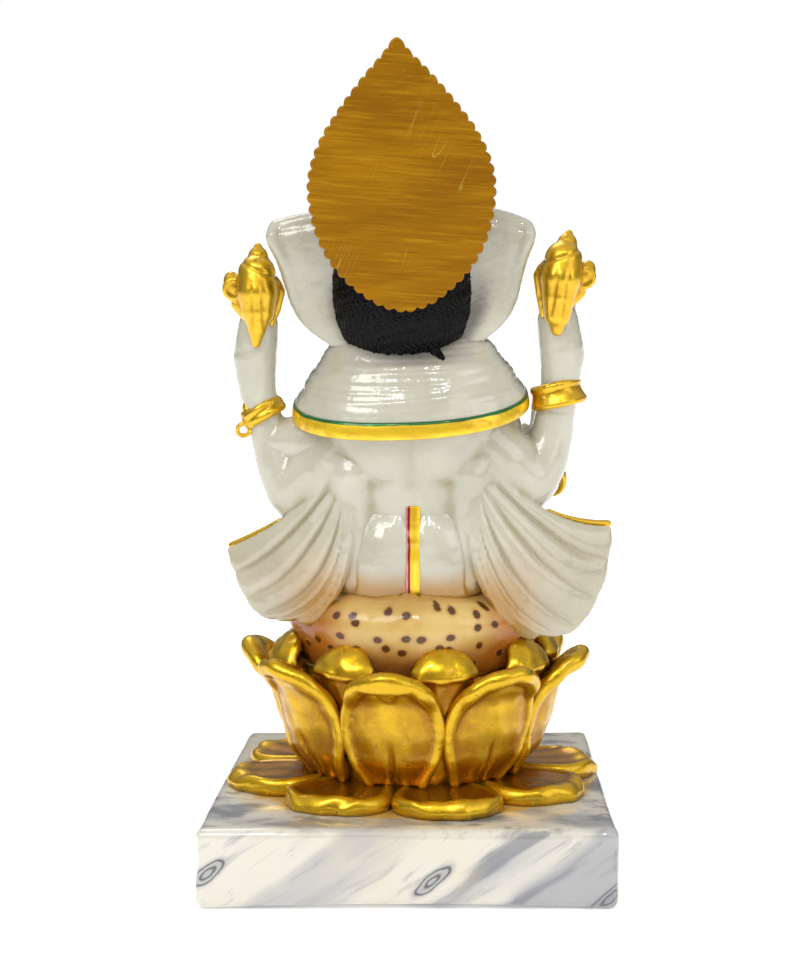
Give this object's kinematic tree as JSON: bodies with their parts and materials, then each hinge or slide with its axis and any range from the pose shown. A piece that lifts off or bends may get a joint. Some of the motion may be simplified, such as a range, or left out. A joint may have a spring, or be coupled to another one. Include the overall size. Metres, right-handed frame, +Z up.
{
  "type": "seated deity statuette",
  "caption": "Seated elephant-headed deity on a lotus throne with a rectangular plinth, cast table statuette with a leaf-shaped plate behind the head.",
  "frame": {"origin": "centre of the plinth's underside", "axes": "+Z up, the figure faces -Y, its own left hand is on +X"},
  "size_m": [0.149, 0.124, 0.3012],
  "materials": {
    "veined_marble": "polished cast marble with grey veins",
    "white_marble": "glossy lacquered white cast marble",
    "lotus_gilding": "glossy gold paint, amber in the hollows",
    "trim_gilding": "glossy gold paint",
    "plate_gilding": "brushed-on ochre gold paint",
    "painted_skin": "glossy airbrushed leopard skin",
    "black_paint": "glossy black paint",
    "ivory_paint": "glossy ivory paint",
    "orange_paint": "satin orange paint"
  },
  "bodies": {
    "root": {"plinth": "veined_marble", "lotus_core": "lotus_gilding", "lower_petal_1": "lotus_gilding", "lower_petal_2": "lotus_gilding", "lower_petal_3": "lotus_gilding", "lower_petal_4": "lotus_gilding", "lower_petal_5": "lotus_gilding", "lower_petal_6": "lotus_gilding", "lower_petal_7": "lotus_gilding", "lower_petal_8": "lotus_gilding", "middle_petal_1": "lotus_gilding", "middle_petal_2": "lotus_gilding", "middle_petal_3": "lotus_gilding", "middle_petal_4": "lotus_gilding", "middle_petal_5": "lotus_gilding", "middle_petal_6": "lotus_gilding", "middle_petal_7": "lotus_gilding", "middle_petal_8": "lotus_gilding", "upper_petal_1": "lotus_gilding", "upper_petal_2": "lotus_gilding", "upper_petal_3": "lotus_gilding", "upper_petal_4": "lotus_gilding", "upper_petal_5": "lotus_gilding", "upper_petal_6": "lotus_gilding", "upper_petal_7": "lotus_gilding", "upper_petal_8": "lotus_gilding", "seat_cushion": "painted_skin", "torso": "white_marble", "dhoti": "white_marble", "shawl": "white_marble", "left_leg": "white_marble", "right_leg": "white_marble", "left_rear_arm": "white_marble", "right_rear_arm": "white_marble", "left_front_arm": "white_marble", "right_front_arm": "white_marble", "left_shawl_wing": "white_marble", "right_shawl_wing": "white_marble", "left_ear": "white_marble", "right_ear": "white_marble", "head": "white_marble", "trunk": "white_marble", "back_pleat": "trim_gilding", "shawl_border": "trim_gilding", "necklace": "trim_gilding", "left_rear_bracelet": "trim_gilding", "right_rear_bracelet": "trim_gilding", "left_front_bracelet": "trim_gilding", "right_front_bracelet": "trim_gilding", "left_blossom": "trim_gilding", "right_blossom": "trim_gilding", "left_wing_edge": "trim_gilding", "right_wing_edge": "trim_gilding", "crown": "trim_gilding", "halo_plate": "plate_gilding", "hair": "black_paint", "left_tusk": "ivory_paint", "right_tusk": "ivory_paint", "sweet": "orange_paint"}
  },
  "joints": []
}
